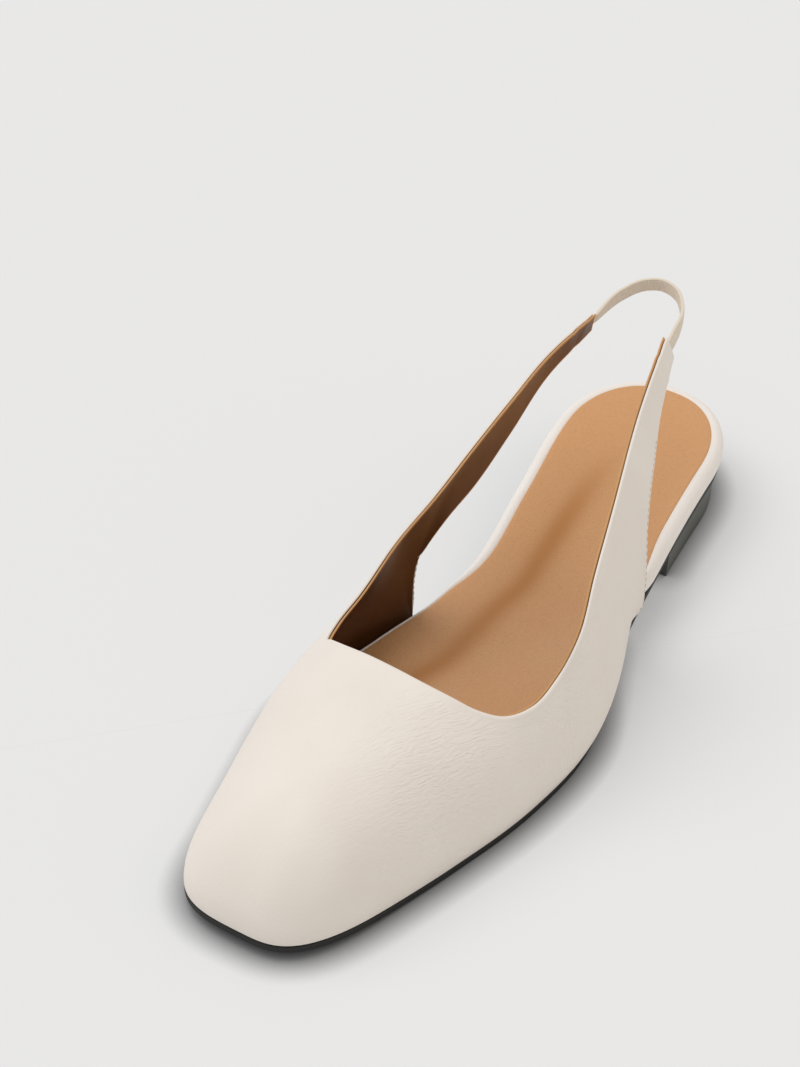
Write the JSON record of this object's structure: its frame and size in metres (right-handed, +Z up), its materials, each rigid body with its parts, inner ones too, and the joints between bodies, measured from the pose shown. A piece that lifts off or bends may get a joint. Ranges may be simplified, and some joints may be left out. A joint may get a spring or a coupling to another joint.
{
  "type": "sling back flat",
  "caption": "Left sling-back flat with a square toe, a straight-cut throat, thin sole, low block heel and two straps joined behind the heel by an elastic.",
  "frame": {"origin": "on the floor under the middle of the bounding box", "axes": "+Z up; the toe points along -Y; +X is the outer side of the foot"},
  "size_m": [0.0859, 0.2528, 0.0698],
  "materials": {
    "upper_leather": "smooth ivory leather, satin",
    "rim_leather": "smooth ivory leather, satin",
    "sock_leather": "tan leather, satin",
    "outsole_rubber": "matte black",
    "heel_block": "matte dark grey",
    "elastic": "ribbed ivory elastic"
  },
  "bodies": {
    "root": {"upper": "upper_leather", "footbed": "rim_leather", "sock": "sock_leather", "outsole": "outsole_rubber", "heel": "heel_block", "sling_elastic": "elastic"}
  },
  "joints": []
}
